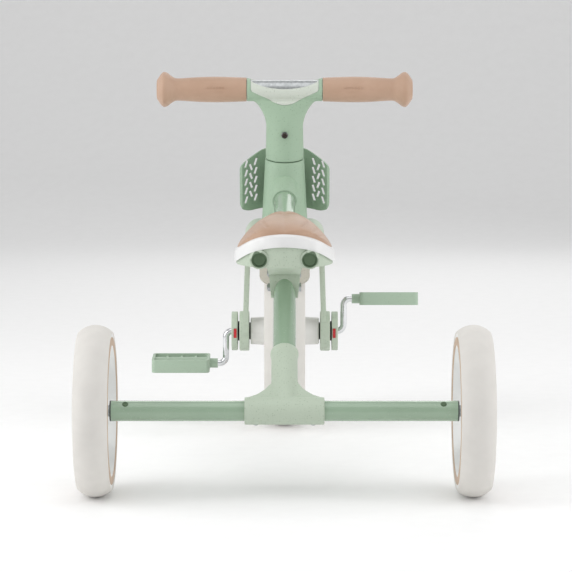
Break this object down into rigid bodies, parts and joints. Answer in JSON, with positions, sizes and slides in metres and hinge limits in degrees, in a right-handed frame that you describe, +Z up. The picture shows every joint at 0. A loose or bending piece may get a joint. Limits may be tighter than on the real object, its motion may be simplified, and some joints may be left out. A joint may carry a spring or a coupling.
{
  "type": "tricycle",
  "caption": "Toddler's tricycle with a bent steel frame tube, moulded fork and fairing, crank-driven front wheel, saddle seat with push-bar sockets and quick-release buttons.",
  "frame": {"origin": "on the ground under the middle of the overall box", "axes": "+Y forward, +X the rider's right, +Z up"},
  "size_m": [0.4306, 0.675, 0.4349],
  "materials": {
    "green_steel": "gloss",
    "green_plastic": "fine speckle, satin",
    "stem_plastic": "fine speckle, satin",
    "pale_plastic": "fine speckle, satin",
    "pedal_plastic": "satin",
    "dark_green_plastic": "matt",
    "beige_plastic": "fine speckle, satin",
    "white_plastic": "semi gloss",
    "cream_plastic": "satin",
    "tan_plastic": "satin",
    "bush_plastic": "satin",
    "black_plastic": "satin",
    "red_plastic": "gloss",
    "tyre_foam": "matt",
    "grip_rubber": "matt, soft",
    "seat_cushion": "soft moulded skin over foam",
    "steel": "zinc plated",
    "chrome": "polished",
    "black_screw": "gloss black"
  },
  "bodies": {
    "frame": {"main_tube": "green_steel", "rear_axle_tube": "green_steel", "rear_tee": "green_plastic", "tee_screws": "steel", "rear_axle_nuts": "steel", "head_tube": "green_steel", "head_bush_upper": "bush_plastic", "head_bush_lower": "bush_plastic", "head_housing": "stem_plastic", "fairing": "stem_plastic", "fairing_screws": "steel", "seat_trim": "white_plastic", "seat_pad": "seat_cushion", "seat_base": "green_plastic", "seat_bracket": "green_plastic", "seat_bolts": "steel", "push_socket_left": "dark_green_plastic", "push_socket_right": "dark_green_plastic", "rear_insert_left": "bush_plastic", "rear_insert_right": "bush_plastic", "rear_stub_left": "steel", "rear_stub_right": "steel"},
    "steering": {"steerer_tube": "steel", "fork": "green_plastic", "fork_bushes": "black_plastic", "front_fender": "beige_plastic", "fender_screws": "steel", "handlebar": "stem_plastic", "handlebar_cover": "pale_plastic", "handlebar_tube": "steel", "stem_screw": "black_screw", "grip_left": "grip_rubber", "grip_right": "grip_rubber"},
    "front_wheel": {"front_tyre": "tyre_foam", "front_rim": "white_plastic", "front_rings": "tan_plastic", "front_hub": "cream_plastic", "front_axle": "steel", "seal_rings": "black_plastic", "crank_housing_left": "green_plastic", "crank_housing_right": "green_plastic", "crank_arm_left": "chrome", "crank_arm_right": "chrome"},
    "crank_button_left": {"crank_button_left": "red_plastic"},
    "pedal_left": {"pedal_left": "pedal_plastic"},
    "axle_button_left": {"spring_button_left": "dark_green_plastic"},
    "rear_wheel_left": {"rear_tyre_left": "tyre_foam", "rear_rim_left": "white_plastic", "rear_rings_left": "tan_plastic", "rear_bearings_left": "steel", "rear_hub_cap_left": "green_plastic"},
    "crank_button_right": {"crank_button_right": "red_plastic"},
    "pedal_right": {"pedal_right": "pedal_plastic"},
    "axle_button_right": {"spring_button_right": "dark_green_plastic"},
    "rear_wheel_right": {"rear_tyre_right": "tyre_foam", "rear_rim_right": "white_plastic", "rear_rings_right": "tan_plastic", "rear_bearings_right": "steel", "rear_hub_cap_right": "green_plastic"}
  },
  "joints": [
    {"name": "steer", "type": "hinge", "parent": "frame", "child": "steering", "pos_m": [0, 0.2125, 0.115], "axis": [0, -0.2079, 0.9781], "range_deg": [-45, 45]},
    {"name": "front_wheel_spin", "type": "hinge", "parent": "steering", "child": "front_wheel", "pos_m": [0, 0.2225, 0.115], "axis": [1, 0, 0], "continuous": true},
    {"name": "pedal_left_spin", "type": "hinge", "parent": "front_wheel", "child": "pedal_left", "pos_m": [-0.125, 0.2225, 0.075], "axis": [1, 0, 0], "continuous": true},
    {"name": "crank_button_left_press", "type": "slide", "parent": "front_wheel", "child": "crank_button_left", "axis": [0, 1, 0], "range_m": [0, 0.002], "stiffness_N_per_m": 800},
    {"name": "axle_button_left_press", "type": "slide", "parent": "frame", "child": "axle_button_left", "axis": [0, 0.6428, -0.766], "range_m": [0, 0.0024], "stiffness_N_per_m": 800},
    {"name": "rear_wheel_left_spin", "type": "hinge", "parent": "frame", "child": "rear_wheel_left", "pos_m": [-0.1975, -0.2475, 0.09], "axis": [1, 0, 0], "continuous": true},
    {"name": "pedal_right_spin", "type": "hinge", "parent": "front_wheel", "child": "pedal_right", "pos_m": [0.125, 0.2225, 0.155], "axis": [1, 0, 0], "continuous": true},
    {"name": "crank_button_right_press", "type": "slide", "parent": "front_wheel", "child": "crank_button_right", "axis": [0, 1, 0], "range_m": [0, 0.002], "stiffness_N_per_m": 800},
    {"name": "axle_button_right_press", "type": "slide", "parent": "frame", "child": "axle_button_right", "axis": [0, 0.6428, -0.766], "range_m": [0, 0.0024], "stiffness_N_per_m": 800},
    {"name": "rear_wheel_right_spin", "type": "hinge", "parent": "frame", "child": "rear_wheel_right", "pos_m": [0.1975, -0.2475, 0.09], "axis": [1, 0, 0], "continuous": true}
  ]
}
